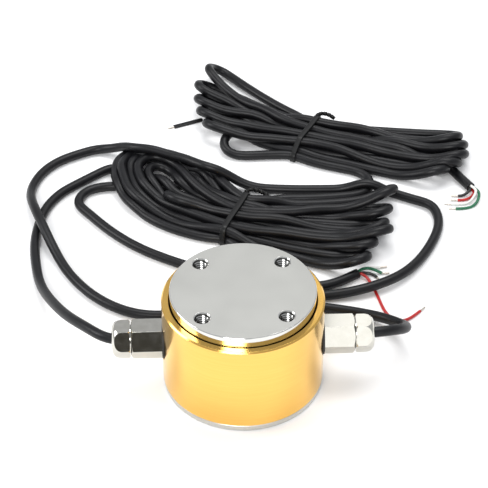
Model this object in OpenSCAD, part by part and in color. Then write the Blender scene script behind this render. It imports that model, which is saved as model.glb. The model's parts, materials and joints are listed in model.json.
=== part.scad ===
// Three-axis force sensor: an elastic cross inside a polished sleeve,
// a loading disc on top and a cable gland on each side.
// Millimetres. Z is up, the origin is under the middle of the base.
// The glands lie along X. Each cable is wound in a tied hank behind.

/* [Body] */
// Outside diameter of the sleeve
sleeve_d = 60; // [56:0.5:70]
// Wall of the sleeve
sleeve_wall = 2.7; // [2:0.1:3.5]
// Height of the sleeve
sleeve_h = 36.2; // [34:0.2:48]
// Chamfer on the outer edges of the sleeve
sleeve_chamfer = 0.6; // [0.2:0.1:1.2]
// How far the sleeve stands over the base flange, all round
base_step = 0.3; // [0:0.1:0.8]
// Thickness of the base flange
base_t = 2.6; // [2:0.1:5]
// Height of the spigot that the sleeve slides over
spigot_h = 5.4; // [5:0.1:8]

/* [Loading disc] */
// Gap between the disc and the sleeve, which lets the disc move
disc_gap = 0.35; // [0.2:0.05:0.8]
// Thickness of the loading disc
disc_t = 10; // [9:0.5:12]
// How far the disc stands above the sleeve
disc_proud = 4.1; // [2:0.1:6]
// Edge chamfer of the disc
disc_chamfer = 0.3; // [0.1:0.1:0.8]

/* [Mounting holes] */
// Distance from the middle of a threaded hole to the edge of the disc
hole_edge = 5.45; // [4.5:0.05:6.5]
// Bore of a threaded hole
hole_d = 5; // [4:0.1:6]
// Depth of the holes in the loading disc
disc_hole_depth = 8; // [5:0.5:8.5]
// Distance from the middle of a hole in the base to the element's rim
base_hole_inset = 2.3; // [0:0.1:4]
// Wall left over the holes in the base
base_hole_wall = 1.2; // [0.6:0.1:2]
// Width of the countersink round a threaded hole
hole_chamfer = 0.7; // [0.3:0.1:1]
// Centring bore in the underside
centre_bore_d = 16; // [14:0.5:17]

/* [Elastic element] */
// Gap between the element's rim and the sleeve
rim_gap = 0.4; // [0.2:0.1:0.8]
// Width of the rim, measured along a radius
rim_w = 6.6; // [6:0.1:8]
// Thickness of the cross and its rim
cross_t = 5.5; // [5:0.1:7]
// Width of a beam
beam_w = 4.6; // [4:0.1:6]
// Thickness that is left at a beam's thin neck
neck_w = 2; // [1.6:0.1:3]
// Radius of the notches that thin a beam
notch_r = 1.6; // [1:0.1:2]
// Corner radius of the four windows between the beams
window_r = 1.5; // [1:0.1:2.5]
// Column that carries the loading disc, as a share of the space inside the rim
column_share = 0.443; // [0.42:0.001:0.47]
// Gap under the cross, which lets it bend
cross_gap = 0.8; // [0.4:0.1:1.2]

/* [Cable glands] */
// Height of the gland axis above the base
gland_z = 20.2; // [20:0.1:22]
// Width across flats of the gland's hexagon
gland_af = 13; // [12:0.1:14]
// Length of the gland's hexagon
gland_hex_len = 11.5; // [9:0.1:14]
// Diameter of the thread that enters the sleeve
gland_thread_d = 10; // [9.5:0.1:10.5]
// Diameter of the thread under the cap
neck_d = 10.6; // [10.4:0.1:11]
// Length of the thread under the cap
neck_len = 3.5; // [3:0.1:4]
// Length of the domed cap nut
cap_len = 6.8; // [6.4:0.1:8]
// Width across flats of the cap nut
cap_af = 12.6; // [12.4:0.1:13]
// Width across flats of the nut inside the sleeve
locknut_af = 12; // [11.5:0.1:12.5]
// Thickness of the nut inside the sleeve
locknut_t = 2.4; // [2:0.1:3]
// Thickness of the sealing washer under the gland
washer_t = 0.8; // [0.5:0.1:1.2]

/* [Cables] */
// Diameter of a cable
cable_d = 4; // [3.8:0.1:4]
// Diameter of one insulated wire
core_d = 1.2; // [1:0.1:1.3]
// Height of a hank
hank_h = 10.5; // [9:0.5:12]
// Width of a tie strip
tie_w = 2.4; // [1.6:0.1:3]
// Thickness of a tie strip
tie_t = 0.8; // [0.6:0.1:1]

/* [Board and fasteners] */
// How far the circuit board reaches past the middle of its spacers
board_edge = 2.2; // [2:0.1:3]
// Thickness of the circuit board
board_t = 1.6; // [1:0.2:2]
// Distance of the spacers from the outside of the rim
spacer_inset = 3.9; // [3.6:0.1:4.2]
// Diameter of the cap screw up the middle
hub_screw_d = 6; // [5:0.5:6]
// Diameter of the four screws between base and cross
rim_screw_d = 4; // [3:0.5:4]
// Distance of those four screws from the outside of the rim
rim_screw_inset = 4.1; // [4:0.1:4.3]
// Running clearance between parts that slide together
slide_gap = 0.1; // [0.05:0.05:0.2]
// Clearance round a screw thread in its hole
thread_gap = 0.05; // [0.02:0.01:0.1]

/* [Hidden] */
fine = 96;
medium = 48;
eps = 0.01;

// Heights that follow from the stack of parts
deck_z = base_t + spigot_h;
sleeve_top_z = base_t + sleeve_h;
top_z = sleeve_top_z + disc_proud;
disc_z = top_z - disc_t;
cross_top_z = deck_z + cross_t;

// Diameters that follow from the sleeve
bore_r = sleeve_d / 2 - sleeve_wall;
base_r = sleeve_d / 2 - base_step;
disc_r = bore_r - disc_gap;
rim_r = bore_r - rim_gap;
rim_in_r = rim_r - rim_w;
column_r = rim_in_r * column_share;
disc_hole_r = disc_r - hole_edge;
base_hole_r = rim_in_r - base_hole_inset;
base_hole_depth = deck_z - cross_gap - base_hole_wall;

// Seals
seal_depth = 1;
seal_w = 1.4;
seal_squeeze = 0.05;
seal_below_deck = 2.6;
base_seal_z = deck_z - seal_below_deck;
seal_below_top = 3.2;
disc_seal_z = sleeve_top_z - seal_below_top;

// Middle screw and the pins beside it
hub_head_d = hub_screw_d * 5 / 3;
hub_head_h = hub_screw_d;
hub_head_z = deck_z + hub_head_h + 1;
hub_screw_depth = 4.6;
hub_tap_spare = 1;
hub_screw_end = top_z - hub_screw_depth;
hub_tap_end = hub_screw_end + hub_tap_spare;
pin_d = 3;
pin_len = 8;
pin_r = (column_r + hub_screw_d / 2) / 2 + 0.1;
pin_z = disc_z - pin_len / 2;

// Screws from the base into the rim
rim_head_d = rim_screw_d * 1.75;
rim_head_h = rim_screw_d;
rim_head_z = rim_head_h + 0.2;
rim_screw_end = cross_top_z - 0.9;
rim_tap_end = cross_top_z - 0.5;
rim_screw_r = rim_r - rim_screw_inset;

// Glands, measured outwards from the middle of the body
spot_x = sleeve_d / 2 - 0.8;
spot_d = gland_af / cos(30) + 1;
hex_x = spot_x + washer_t;
neck_x = hex_x + gland_hex_len;
neck_end = neck_x + neck_len;
cap_x = neck_x + 0.3;
cap_end = cap_x + cap_len;
locknut_corner = locknut_af / 2 / cos(30);
locknut_x = sqrt(bore_r * bore_r - locknut_corner * locknut_corner) - locknut_t - 0.05;
shank_x = locknut_x - 0.4;
gland_bore_d = cable_d + 1.2;
pocket_d = neck_d - 2;
pocket_x = neck_x - 3;
cage_len = cap_end - pocket_x - 2.2;
cable_start_x = pocket_x + 0.4;

// Circuit board and what holds it
board_z = gland_z + locknut_af / 2 + 0.8;
board_hole_r = column_r + 1;
spacer_r = rim_r - spacer_inset;
board_r = spacer_r + board_edge;
spacer_af = 4.5;
spacer_stud_d = 2.5;
spacer_stud_len = 4;
spacer_tap_len = 6;
board_screw_d = 2.5;
board_screw_len = 4.5;
board_head_d = 4.5;
board_head_h = 1.7;
chip_size = [8.8, 6, 1.6];
chip_y = (board_hole_r + board_r) / 2;
chip_small = [3.2, 1.6, 1];
inner_wire_r = 0.5;
inner_bend = 4;
solder_r = (board_hole_r + shank_x) / 2 - 1.8;

// Strain gauges
notch_at = rim_in_r - notch_r - 0.9;
gauge_margin = 0.6;
gauge_x = column_r + window_r + gauge_margin;
gauge_len = notch_at - notch_r - gauge_margin - gauge_x;
gauge_w = 2.6;
gauge_t = 0.15;

// Cable routes: points chosen by hand, z is the middle of the cable. They are drawn for glands
// at drawn_gland, and the points near a gland follow it when it moves.
drawn_gland = [48.6, 0, 20.2];
drawn_points = 9;
cable_r = cable_d / 2;
core_r = core_d / 2;
floor_z = cable_r;
left_lead_pts = [
    [-47.5, 0, 20.2], [-51.5, 1.6, 20.1], [-56, 6, 19.3],
    [-61.5, 13, 17.3], [-67, 22, 14], [-72, 33, 10], [-76, 44, 6], [-79, 55, 3],
    [-81, 67, floor_z], [-82, 80, floor_z], [-81, 92, floor_z], [-78, 104, floor_z],
    [-72, 114, floor_z], [-64, 123, floor_z], [-57.6, 128.6, 2.5], [-51.8, 130.3, 3],
    [-47.35, 128.07, 3.5]
];
left_tail_pts = [
    [7.2, 72.4, floor_z], [8.1, 66, floor_z], [10.5, 60, floor_z], [14.5, 55, floor_z],
    [20, 51.3, floor_z], [27, 49, floor_z], [34, 49, floor_z], [41, 51.7, floor_z],
    [48, 56, floor_z]
];
right_lead_pts = [
    [47.5, 0, 20.2], [52, 0.8, 20], [56.5, 3, 18.6],
    [60.5, 7, 15.5], [62.5, 12, 12], [61.5, 18, 8], [57, 24.5, 5], [49.5, 30, 3],
    [40, 34, floor_z], [27, 36.5, floor_z], [12, 37.5, floor_z], [-4, 37, floor_z],
    [-18, 35, floor_z], [-31, 33.5, floor_z], [-43, 36, floor_z], [-56, 45, floor_z],
    [-66, 58, floor_z], [-72, 70, 2.6], [-77, 82, 5], [-81, 93, 6.3], [-84, 104, 5],
    [-85, 115, 2.6], [-82, 126, floor_z], [-74, 136, floor_z], [-62, 142.5, floor_z],
    [-53, 144.5, 2.5], [-46.5, 143, 3.5], [-41.35, 139.12, 4]
];
right_loop_pts = [
    [66.9, 107.2, 5], [71.5, 108.3, 4.5], [77, 106, 4], [82, 100, 3], [84.5, 90, floor_z],
    [82, 79, floor_z], [76, 67, floor_z], [67, 55, 3], [58, 48.5, 3.4], [47, 44.5, 3],
    [33, 43, floor_z], [19, 44.5, floor_z], [5, 50, floor_z], [-9, 57.5, floor_z],
    [-24, 65.5, floor_z], [-40, 76, floor_z], [-53, 89, floor_z], [-62, 101, floor_z],
    [-66.5, 109.5, floor_z], [-64.5, 116, floor_z], [-58.5, 119.8, 3], [-51.97, 119.02, 4]
];
right_link_pts = [[62, 111.2, 3], [63.5, 115.8, 3], [64.6, 121.2, 3]];
right_end_pts = [
    [93.3, 120.2, 2.4], [97.5, 118.4, floor_z], [100.3, 115, floor_z], [100.8, 110.8, floor_z]
];

// Loose wires at a stripped end: [side, up, straight length], then points on the way
wire_low = 0.62;
spot = 0.9;
left_red = [-spot, 0, 1];
left_red_pts = [
    [51.3, 54.6, 1.4], [52.9, 51.6, 0.8], [54.2, 47, wire_low], [55.5, 41, wire_low],
    [57, 34.5, wire_low], [60, 29.5, wire_low], [64, 28.6, wire_low], [68.5, 31.5, wire_low],
    [73, 36, wire_low]
];
left_black = [0, -spot, 2.5];
left_black_pts = [[53.5, 57, 0.7], [56, 54.6, wire_low], [57, 52.2, wire_low]];
left_green = [0, spot, 3.5];
left_green_pts = [[55, 58.3, 1.8], [58.5, 57.3, wire_low], [61, 57.5, wire_low]];
left_white = [spot, 0, 1.5];
left_white_pts = [[51.5, 58.9, 2], [54.5, 60.2, 1.4], [57.5, 61, wire_low], [60.5, 61.5, wire_low]];
right_black = [-spot, 0, 1];
right_black_pts = [
    [99.4, 108.2, 1.6], [97.6, 107.1, 1], [95, 106.8, wire_low], [92, 107, wire_low]
];
right_red = [0, -spot, 2.5];
right_red_pts = [[100, 105.4, 0.8], [96.5, 104, wire_low], [91.5, 104.2, wire_low]];
right_white = [0, spot, 3.5];
right_white_pts = [
    [101, 103.8, 2], [98, 101.6, wire_low], [92.5, 101.2, wire_low], [88.5, 102, wire_low]
];
right_green = [spot, 0, 4.5];
right_green_pts = [
    [102.6, 102.4, 1.2], [99.5, 99.2, wire_low], [94, 98.2, wire_low], [90, 98.6, wire_low]
];
inner_spots = [[0, 0.75], [0.75, 0], [0, -0.75], [-0.75, 0]];

// Hanks: each is a lobe of loops on both sides of its tie, as circles [x, y, r]
front_left = [[-34, 132, 10], [-42, 116, 10], [-32, 99, 9]];
front_waist = [[2.8, 98.7, 6], [-2.8, 83.3, 6]];
front_right = [[61, 105, 6], [60, 86, 7], [48, 66, 7]];
front_tilt = -20;
back_left = [[-2, 193, 8], [-7, 177, 8], [-1, 161, 8]];
back_waist = [[36.3, 153.8, 6], [29.7, 139.2, 6]];
back_right = [[92, 138, 7], [86, 122, 7]];
back_tilt = -24;
tie_corner = 2.5;
tie_slope = 4.5;
tie_gap = 0.05;
twist_len = 8;
tail_from = [-11.9, 166.9];
tail_angle = 202;
tail_len = 13.5;
tail_tip_len = 3;
tail_tip_d = 0.7;

function unit(v) = v / norm(v);
function from_gland(side, pts) = concat([[side * cable_start_x, 0, gland_z]],
    [for (i = [0:len(pts) - 1]) pts[i] + max(0, 1 - i / drawn_points)
        * [side * (cap_end - drawn_gland.x), 0, gland_z - drawn_gland.z]]);
function side_of(t) = let (s = cross([0, 0, 1], t)) norm(s) < 0.01 ? [0, 1, 0] : unit(s);

// One closed tube swept along the points, with flat ends square to the path
module tube(pts, r, sides) {
    n = len(pts);
    rings = [for (i = [0:n - 1])
        let (t = unit(pts[min(i + 1, n - 1)] - pts[max(i - 1, 0)]), s = side_of(t), u = cross(t, s))
        for (k = [0:sides - 1]) pts[i] + r * (cos(360 * k / sides) * s + sin(360 * k / sides) * u)];
    walls = [for (i = [0:n - 2], k = [0:sides - 1])
        let (a = i * sides + k, b = i * sides + (k + 1) % sides) [a, a + sides, b + sides, b]];
    polyhedron(
        points = rings,
        faces = concat([[for (k = [0:sides - 1]) k]], walls,
            [[for (k = [sides - 1:-1:0]) (n - 1) * sides + k]]),
        convexity = 10);
}

// A hexagonal prism along Z, its flats facing plus and minus X
module hex_bar(af, h) {
    rotate([0, 0, 30]) cylinder(d = af / cos(30), h = h, $fn = 6);
}

// Turns a part that is drawn along Z outwards along X, flats up
module along_x(side, x) {
    translate([side * x, 0, gland_z]) rotate([0, side * 90, 0]) children();
}

module at_ring(r, count, first) {
    for (i = [0:count - 1]) rotate([0, 0, first + i * 360 / count]) translate([r, 0, 0]) children();
}

module base_plate() {
    spigot_r = bore_r - slide_gap;
    color("silver") difference() {
        rotate_extrude($fn = fine) polygon([
            [centre_bore_d / 2 + 0.5, 0], [base_r - 0.4, 0], [base_r, 0.4],
            [base_r, base_t - 0.3], [base_r - 0.3, base_t], [spigot_r, base_t],
            [spigot_r, base_seal_z], [spigot_r - seal_depth, base_seal_z],
            [spigot_r - seal_depth, base_seal_z + seal_w], [spigot_r, base_seal_z + seal_w],
            [spigot_r, deck_z - 0.4], [spigot_r - 0.4, deck_z],
            [rim_in_r, deck_z], [rim_in_r, deck_z - cross_gap],
            [centre_bore_d / 2, deck_z - cross_gap], [centre_bore_d / 2, 0.5]]);
        at_ring(base_hole_r, 4, 45) {
            translate([0, 0, -eps]) cylinder(d = hole_d, h = base_hole_depth + eps, $fn = medium);
            translate([0, 0, -eps])
                cylinder(r1 = hole_d / 2 + hole_chamfer, r2 = hole_d / 2, h = hole_chamfer, $fn = medium);
        }
        at_ring(rim_screw_r, 4, 0) {
            translate([0, 0, -eps])
                cylinder(d = rim_head_d + 0.4, h = rim_head_z + eps, $fn = medium);
            cylinder(d = rim_screw_d + 0.4, h = deck_z + eps, $fn = medium);
        }
    }
}

module seal_ring(r_in, r_out, z, w) {
    translate([0, 0, z]) rotate_extrude($fn = fine) polygon([
        [r_in, 0.2], [r_in + 0.2, 0], [r_out - 0.3, 0], [r_out, w * 0.3],
        [r_out, w * 0.7], [r_out - 0.3, w], [r_in + 0.2, w], [r_in, w - 0.2]]);
}

module base_seal() {
    groove_r = bore_r - slide_gap - seal_depth;
    color("#202020") seal_ring(groove_r, bore_r - seal_squeeze, base_seal_z + 0.1, seal_w - 0.2);
}

module gold_sleeve() {
    r = sleeve_d / 2;
    color("gold") difference() {
        translate([0, 0, base_t]) rotate_extrude($fn = fine) polygon([
            [bore_r + 0.3, 0], [r - 0.4, 0], [r, 0.4], [r, sleeve_h - sleeve_chamfer],
            [r - sleeve_chamfer, sleeve_h], [bore_r + 0.2, sleeve_h], [bore_r, sleeve_h - 0.2],
            [bore_r, 0.3]]);
        for (side = [-1, 1]) {
            along_x(side, 0) cylinder(d = gland_thread_d + 0.2, h = sleeve_d, $fn = medium);
            along_x(side, spot_x) cylinder(d = spot_d, h = sleeve_d, $fn = medium);
        }
    }
}

// Window between two beams: a rounded sector, narrow end at the column
module window() {
    near = column_r + window_r + 0.6;
    far = rim_in_r - window_r;
    near_side = beam_w / 2 + window_r;
    near_along = sqrt(near * near - near_side * near_side);
    far_along = sqrt(far * far - near_side * near_side);
    corners = [[near_along, near_side], [near_side, near_along], [far_along, near_side],
        [near_side, far_along], [far * cos(45), far * sin(45)], [far * cos(28), far * sin(28)],
        [far * cos(62), far * sin(62)]];
    translate([0, 0, -1]) linear_extrude(cross_t + 2) difference() {
        hull() for (c = corners) translate(c) circle(r = window_r, $fn = 24);
        circle(r = column_r + 0.6, $fn = fine);
    }
}

module elastic_element() {
    color("lightsteelblue") difference() {
        translate([0, 0, deck_z]) union() {
            difference() {
                cylinder(r = rim_r, h = cross_t, $fn = fine);
                for (q = [0:3]) rotate([0, 0, 90 * q]) window();
                for (q = [0:3], s = [-1, 1]) rotate([0, 0, 90 * q])
                    translate([notch_at, s * (neck_w / 2 + notch_r), -1])
                        cylinder(r = notch_r, h = cross_t + 2, $fn = medium);
            }
            cylinder(r = column_r, h = disc_z - deck_z, $fn = fine);
        }
        cylinder(d = hub_screw_d + 0.6, h = top_z, $fn = medium);
        translate([0, 0, deck_z - 1])
            cylinder(d = hub_head_d + 0.6, h = hub_head_z - deck_z + 1, $fn = medium);
        at_ring(pin_r, 2, 0) translate([0, 0, pin_z])
            cylinder(d = pin_d + 2 * thread_gap, h = pin_len, $fn = medium);
        at_ring(rim_screw_r, 4, 0) translate([0, 0, deck_z - 1])
            cylinder(d = rim_screw_d + 2 * thread_gap, h = rim_tap_end - deck_z + 1, $fn = medium);
        at_ring(spacer_r, 4, 45) translate([0, 0, cross_top_z - spacer_stud_len - 0.4])
            cylinder(d = spacer_stud_d + 2 * thread_gap, h = spacer_stud_len + 1, $fn = medium);
    }
}

module strain_gauges() {
    color("orange") for (q = [0:3]) rotate([0, 0, 90 * q]) {
        translate([gauge_x, -gauge_w / 2, cross_top_z])
            cube([gauge_len, gauge_w, gauge_t]);
        for (s = [0, 1]) mirror([0, s, 0])
            translate([gauge_x, beam_w / 2, deck_z + (cross_t - gauge_w) / 2])
                cube([gauge_len, gauge_t, gauge_w]);
    }
}

module loading_disc() {
    r = disc_r;
    seat_z = disc_seal_z - disc_z;
    color("gainsboro") difference() {
        translate([0, 0, disc_z]) rotate_extrude($fn = fine) polygon([
            [0, 0], [r - 0.4, 0], [r, 0.4], [r, seat_z], [r - seal_depth, seat_z],
            [r - seal_depth, seat_z + seal_w], [r, seat_z + seal_w], [r, disc_t - disc_chamfer],
            [r - disc_chamfer, disc_t], [0, disc_t]]);
        at_ring(disc_hole_r, 4, 45) {
            translate([0, 0, top_z - disc_hole_depth])
                cylinder(d = hole_d, h = disc_hole_depth + eps, $fn = medium);
            translate([0, 0, top_z - hole_chamfer + eps])
                cylinder(r1 = hole_d / 2, r2 = hole_d / 2 + hole_chamfer, h = hole_chamfer, $fn = medium);
        }
        translate([0, 0, disc_z - 1])
            cylinder(d = hub_screw_d + 2 * thread_gap, h = hub_tap_end - disc_z + 1, $fn = medium);
        at_ring(pin_r, 2, 0) translate([0, 0, disc_z - 1])
            cylinder(d = pin_d + 2 * thread_gap, h = pin_len / 2 + 1.3, $fn = medium);
    }
}

module disc_seal() {
    groove_r = disc_r - seal_depth;
    color("#181818") seal_ring(groove_r, bore_r - seal_squeeze, disc_seal_z + 0.1, seal_w - 0.2);
}

// Socket head screw standing on its head, thread upwards
module cap_screw(d, head_d, head_h, key_af, len) {
    difference() {
        union() {
            cylinder(d = head_d, h = head_h, $fn = medium);
            translate([0, 0, head_h]) cylinder(d = d, h = len, $fn = medium);
        }
        translate([0, 0, -1]) hex_bar(key_af, head_h / 2 + 1);
    }
}

module hub_screw() {
    color("dimgray") translate([0, 0, hub_head_z - hub_head_h])
        cap_screw(hub_screw_d, hub_head_d, hub_head_h, hub_screw_d * 0.83,
            hub_screw_end - hub_head_z);
}

module dowel_pins() {
    color("gray") at_ring(pin_r, 2, 0) translate([0, 0, pin_z])
        cylinder(d = pin_d, h = pin_len, $fn = medium);
}

module rim_screws() {
    color("dimgray") at_ring(rim_screw_r, 4, 0) translate([0, 0, rim_head_z - rim_head_h])
        cap_screw(rim_screw_d, rim_head_d, rim_head_h, rim_screw_d * 0.75,
            rim_screw_end - rim_head_z);
}

module circuit_board() {
    color("green") translate([0, 0, board_z]) difference() {
        cylinder(r = board_r, h = board_t, $fn = fine);
        translate([0, 0, -1]) cylinder(r = board_hole_r, h = board_t + 2, $fn = fine);
        at_ring(spacer_r, 4, 45) translate([0, 0, -1])
            cylinder(d = board_screw_d + 0.3, h = board_t + 2, $fn = medium);
    }
}

module board_spacers() {
    len = board_z - cross_top_z;
    color("goldenrod") at_ring(spacer_r, 4, 45) {
        translate([0, 0, cross_top_z]) difference() {
            hex_bar(spacer_af, len);
            translate([0, 0, len - spacer_tap_len])
                cylinder(d = board_screw_d + 2 * thread_gap, h = spacer_tap_len + 1, $fn = medium);
        }
        translate([0, 0, cross_top_z - spacer_stud_len])
            cylinder(d = spacer_stud_d, h = spacer_stud_len + eps, $fn = medium);
    }
}

module board_screws() {
    len = board_t + board_screw_len;
    slot_w = board_head_d / 9;
    slot_l = board_head_d - 1.9;
    color("silver") at_ring(spacer_r, 4, 45) translate([0, 0, board_z + board_t]) {
        difference() {
            cylinder(d1 = board_head_d, d2 = board_head_d - 1, h = board_head_h, $fn = medium);
            for (a = [0, 90]) rotate([0, 0, a]) translate([-slot_l / 2, -slot_w / 2, board_head_h / 2])
                cube([slot_l, slot_w, board_head_h]);
        }
        translate([0, 0, -len]) cylinder(d = board_screw_d, h = len + eps, $fn = medium);
    }
}

// Amplifier chips and the small parts beside them, on top of the board
module board_parts() {
    color("#303030") translate([0, 0, board_z + board_t]) {
        for (s = [-1, 1]) translate([-chip_size[0] / 2, s * chip_y - chip_size[1] / 2, 0])
            cube(chip_size);
        for (a = [-20:20:20], s = [0, 180]) rotate([0, 0, a + s])
            translate([solder_r, -chip_small[1] / 2, 0]) cube(chip_small);
    }
}

module gland_washer(side) {
    color("#151515") along_x(side, spot_x) difference() {
        cylinder(d = spot_d - 1, h = washer_t, $fn = fine);
        translate([0, 0, -1]) cylinder(d = gland_thread_d + 0.1, h = washer_t + 2, $fn = fine);
    }
}

module gland_body(side) {
    face_r = gland_af / 2 - 0.3;
    color("whitesmoke") along_x(side, 0) difference() {
        union() {
            translate([0, 0, shank_x]) cylinder(d = gland_thread_d, h = hex_x - shank_x + eps, $fn = fine);
            translate([0, 0, hex_x]) intersection() {
                hex_bar(gland_af, gland_hex_len);
                cylinder(r1 = face_r + gland_hex_len * tan(60), r2 = face_r, h = gland_hex_len, $fn = fine);
            }
            translate([0, 0, neck_x - eps]) cylinder(d = neck_d, h = neck_len + eps, $fn = fine);
        }
        translate([0, 0, shank_x - 1]) cylinder(d = gland_bore_d, h = neck_end, $fn = medium);
        translate([0, 0, pocket_x]) cylinder(d = pocket_d, h = neck_end, $fn = medium);
    }
}

module gland_locknut(side) {
    color("silver") along_x(side, locknut_x) difference() {
        hex_bar(locknut_af, locknut_t);
        translate([0, 0, -1])
            cylinder(d = gland_thread_d + 2 * thread_gap, h = locknut_t + 2, $fn = fine);
    }
}

// Slotted collar whose fingers the cap nut squeezes onto the grommet
module clamp_cage(side) {
    wall = 0.8;
    color("#e8e8e0") along_x(side, pocket_x) difference() {
        cylinder(d = pocket_d - slide_gap, h = cage_len - 1.2, $fn = medium);
        translate([0, 0, -1]) cylinder(d = pocket_d - slide_gap - 2 * wall, h = cage_len + 2, $fn = medium);
        for (a = [0:60:150]) rotate([0, 0, a]) translate([-pocket_d, -0.4, 2])
            cube([2 * pocket_d, 0.8, cage_len]);
    }
}

module grommet(side) {
    outer = pocket_d - slide_gap - 1.7;
    color("#101010") along_x(side, pocket_x) difference() {
        cylinder(d = outer, h = cage_len, $fn = medium);
        translate([0, 0, -1]) cylinder(d = cable_d + slide_gap, h = cage_len + 2, $fn = medium);
    }
}

module cap_nut(side) {
    corner = cap_af / 2 / cos(30);
    color("whitesmoke") along_x(side, cap_x) difference() {
        intersection() {
            hex_bar(cap_af, cap_len);
            rotate_extrude($fn = fine) polygon(concat(
                [[0, 0], [corner - 0.5, 0], [corner, 0.5], [corner, cap_len * 0.45]],
                [for (a = [0:10:90]) [corner - 3 + 3 * cos(a), cap_len * 0.45 + 0.55 * cap_len * sin(a)]],
                [[0, cap_len]]));
        }
        translate([0, 0, -1]) cylinder(d = neck_d + 0.2, h = neck_len + 1, $fn = fine);
        translate([0, 0, neck_len - eps])
            cylinder(d1 = neck_d + 0.2, d2 = gland_bore_d + 1.2, h = cap_len - neck_len - 1, $fn = fine);
        cylinder(d = gland_bore_d, h = cap_len + 1, $fn = medium);
    }
}

// Four wires from the stripped cable inside the gland up to the board
module inner_wires(side) {
    color("firebrick") for (s = inner_spots)
        tube([
            [side * cable_start_x, s[0], gland_z + s[1]],
            [side * (shank_x + inner_wire_r), s[0], gland_z + s[1]],
            [side * (solder_r + inner_bend + s[1]), s[0] * 1.6, gland_z + s[1] + 1],
            [side * (solder_r + 1.5 + s[1]), s[0] * 2, board_z - 3.6],
            [side * (solder_r + 1 + s[1]), s[0] * 2.2, board_z - 2],
            [side * (solder_r + 1 + s[1]), s[0] * 2.2, board_z]
        ], inner_wire_r, 8);
}

module cable(pts) {
    color("#262626") tube(pts, cable_r, 8);
}

// One wire of a stripped end: square out of the jacket, then along its own points
module wire(cable_pts, start, pts, shade) {
    n = len(cable_pts);
    tip = cable_pts[n - 1];
    ahead = unit(tip - cable_pts[n - 2]);
    from = tip + start[0] * side_of(ahead) + [0, 0, start[1]];
    color(shade) tube(concat([from, from + start[2] * ahead], pts), core_r, 8);
}

module lobe(waist, tips) {
    hull() for (c = concat(waist, tips)) translate([c[0], c[1]]) circle(r = c[2], $fn = 32);
}

// Centre of a hank's tie, halfway between the two circles of its waist
function tie_at(waist) = [(waist[0][0] + waist[1][0]) / 2, (waist[0][1] + waist[1][1]) / 2];
function waist_w(waist) = norm([waist[0][0] - waist[1][0], waist[0][1] - waist[1][1]])
    + waist[0][2] + waist[1][2];

// Cross-section of a hank inside its tie, narrower at the top, grown outwards by a distance
module tie_section(waist, grow) {
    half_w = waist_w(waist) / 2 - tie_corner;
    hull() for (side = [-1, 1]) {
        translate([side * half_w, tie_t + tie_corner]) circle(r = tie_corner + grow, $fn = 24);
        translate([side * (half_w - tie_slope), hank_h - tie_corner])
            circle(r = tie_corner + grow, $fn = 24);
    }
}

// Puts a section that is drawn across the hank at its tie, extruded along the hank
module at_tie(waist, tilt, length) {
    at = tie_at(waist);
    translate([at[0], at[1], 0]) rotate([0, 0, tilt]) rotate([90, 0, 90])
        translate([0, 0, -length / 2]) linear_extrude(length) children();
}

module hank(left, waist, right, tilt) {
    color("#222222") difference() {
        linear_extrude(hank_h) union() {
            lobe(waist, left);
            lobe(waist, right);
        }
        at_tie(waist, tilt, tie_w + 0.6) difference() {
            square([4 * waist_w(waist), 4 * hank_h], center = true);
            tie_section(waist, -tie_gap);
        }
    }
}

// Strip of a twist tie round the hank, with its two ends twisted together behind
module tie_band(waist, tilt) {
    at = tie_at(waist);
    color("#101010") {
        at_tie(waist, tilt, tie_w) difference() {
            tie_section(waist, tie_t);
            tie_section(waist, 0);
        }
        translate([at[0], at[1], 0]) rotate([0, 0, tilt])
            translate([0, waist_w(waist) / 2 + tie_t - eps, tie_t + tie_corner]) rotate([-90, 0, 0])
                linear_extrude(twist_len, twist = 360, slices = 16)
                    square([tie_w, 2 * tie_t], center = true);
    }
}

// The long end of the back tie lies under the hank and shows its bared wire
module tie_tail() {
    color("#101010") translate([tail_from[0], tail_from[1], 0]) rotate([0, 0, tail_angle]) {
        translate([0, -tie_w / 2, 0]) cube([tail_len, tie_w, tie_t]);
        translate([tail_len - eps, 0, tie_t / 2]) rotate([0, 90, 0])
            cylinder(d = tail_tip_d, h = tail_tip_len, $fn = 24);
    }
}

module back_tie() {
    tie_band(back_waist, back_tilt);
    tie_tail();
}

module front_hank() { hank(front_left, front_waist, front_right, front_tilt); }
module back_hank() { hank(back_left, back_waist, back_right, back_tilt); }

base_plate();
base_seal();
gold_sleeve();
elastic_element();
strain_gauges();
loading_disc();
disc_seal();
hub_screw();
dowel_pins();
rim_screws();
circuit_board();
board_spacers();
board_screws();
board_parts();
gland_washer(-1);  // left_gland_washer
gland_body(-1);  // left_gland_body
gland_locknut(-1);  // left_gland_locknut
clamp_cage(-1);  // left_clamp_cage
grommet(-1);  // left_grommet
cap_nut(-1);  // left_cap_nut
inner_wires(-1);  // left_inner_wires
gland_washer(1);  // right_gland_washer
gland_body(1);  // right_gland_body
gland_locknut(1);  // right_gland_locknut
clamp_cage(1);  // right_clamp_cage
grommet(1);  // right_grommet
cap_nut(1);  // right_cap_nut
inner_wires(1);  // right_inner_wires
cable(from_gland(-1, left_lead_pts));  // left_cable_lead
front_hank();
tie_band(front_waist, front_tilt);  // front_tie
cable(left_tail_pts);  // left_cable_tail
wire(left_tail_pts, left_red, left_red_pts, "red");  // left_red_wire
wire(left_tail_pts, left_green, left_green_pts, "green");  // left_green_wire
wire(left_tail_pts, left_white, left_white_pts, "white");  // left_white_wire
wire(left_tail_pts, left_black, left_black_pts, "black");  // left_black_wire
cable(from_gland(1, right_lead_pts));  // right_cable_lead
cable(right_loop_pts);  // right_cable_loop
cable(right_link_pts);  // right_cable_link
back_hank();
back_tie();
cable(right_end_pts);  // right_cable_end
wire(right_end_pts, right_red, right_red_pts, "red");  // right_red_wire
wire(right_end_pts, right_green, right_green_pts, "green");  // right_green_wire
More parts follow.
